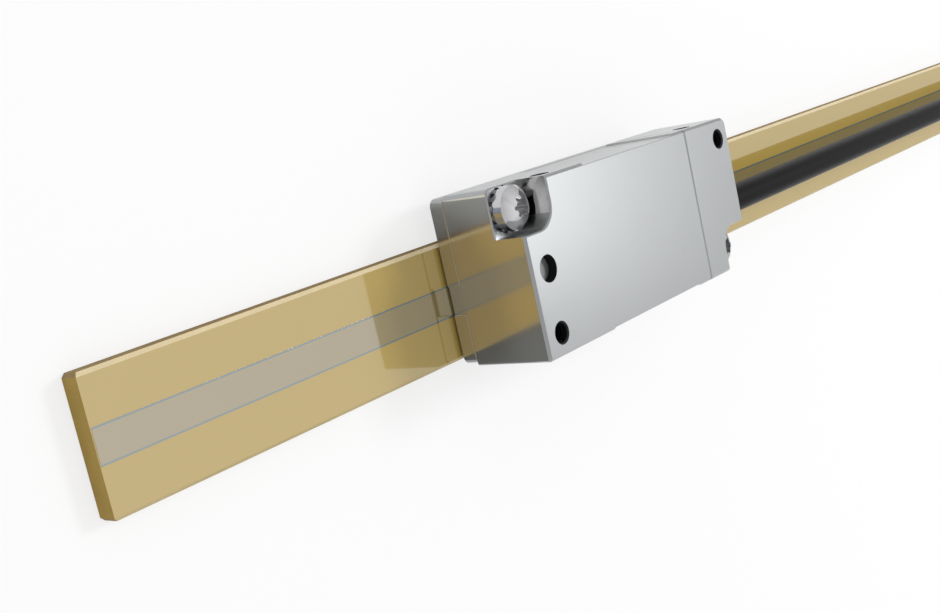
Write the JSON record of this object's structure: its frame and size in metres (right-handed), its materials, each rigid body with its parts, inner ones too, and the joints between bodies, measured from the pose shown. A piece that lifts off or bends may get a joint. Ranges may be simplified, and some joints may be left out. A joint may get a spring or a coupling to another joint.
{
  "type": "open linear encoder",
  "caption": "Exposed linear encoder: gold-faced glass scale bar with a graduation track, a small metal scanning head that glides along it, and a cable ending in a D-shaped plug.",
  "frame": {"origin": "middle of the glass scale's back, on the mounting film, with the encoder lying on its back", "axes": "+X along the scale towards the cable end, +Y across the scale towards the head's screw-hole side, +Z out of the scale's face, up"},
  "size_m": [0.4497, 0.0404, 0.0164],
  "materials": {
    "gold_glass": "mirror-like gold-coloured phase-grating layer on glass",
    "grating": "finely graduated reflecting strip",
    "border_line": "thin smooth line",
    "film": "self-adhesive film",
    "polished_metal": "polished",
    "satin_metal": "satin, fine-blasted",
    "bright_steel": "bright plated",
    "washer_steel": "plain steel",
    "clear_glass": "clear",
    "black_rubber": "matte",
    "cable_jacket": "satin polyurethane jacket",
    "black_plastic": "matte",
    "chip_plastic": "moulded",
    "green_board": "solder mask",
    "white_ceramic": "fired",
    "wire_jacket": "smooth",
    "brass": "plain",
    "strap_fabric": "woven",
    "hood_metal": "metallised plastic hood"
  },
  "bodies": {
    "scale": {"scale_glass": "gold_glass", "graduation_track": "grating", "track_borders": "border_line", "adhesive_film": "film"},
    "head": {"base_plate": "polished_metal", "main_housing": "satin_metal", "cable_end_block": "satin_metal", "corner_screw": "bright_steel", "corner_washer": "washer_steel", "end_screw": "bright_steel", "end_washer": "washer_steel", "locating_pin": "washer_steel", "base_seal": "black_rubber", "scanning_reticle": "clear_glass", "optics_carrier": "black_plastic", "carrier_screws": "bright_steel", "condenser_lens": "clear_glass", "light_source": "white_ceramic", "photosensor": "chip_plastic", "circuit_board": "green_board", "amplifier_chip": "chip_plastic", "board_capacitors": "white_ceramic", "limit_sensors": "chip_plastic", "wire_header": "black_plastic", "cable_wires": "wire_jacket", "crimp_sleeve": "brass", "cable_boot": "black_rubber", "cable_lead": "cable_jacket", "cable_hank": "cable_jacket", "hank_strap": "strap_fabric", "cable_tail": "cable_jacket", "hood_lower": "hood_metal", "hood_upper": "hood_metal", "hood_screws": "bright_steel", "hood_boot": "black_rubber", "plug_shell": "bright_steel", "plug_insert": "black_plastic", "plug_pins": "brass", "plug_wires": "wire_jacket"},
    "left_jackscrew": {"jackscrew_left": "washer_steel"},
    "right_jackscrew": {"jackscrew_right": "washer_steel"}
  },
  "joints": [
    {"name": "head_travel", "type": "slide", "parent": "scale", "child": "head", "axis": [1, 0, 0], "range_m": [-0.064, 0.176]},
    {"name": "left_jackscrew_turn", "type": "hinge", "parent": "head", "child": "left_jackscrew", "pos_m": [0.2953, -0.02346, 0.00775], "axis": [1, 0, 0], "continuous": true},
    {"name": "right_jackscrew_turn", "type": "hinge", "parent": "head", "child": "right_jackscrew", "pos_m": [0.2953, 0.00984, 0.00775], "axis": [1, 0, 0], "continuous": true}
  ]
}
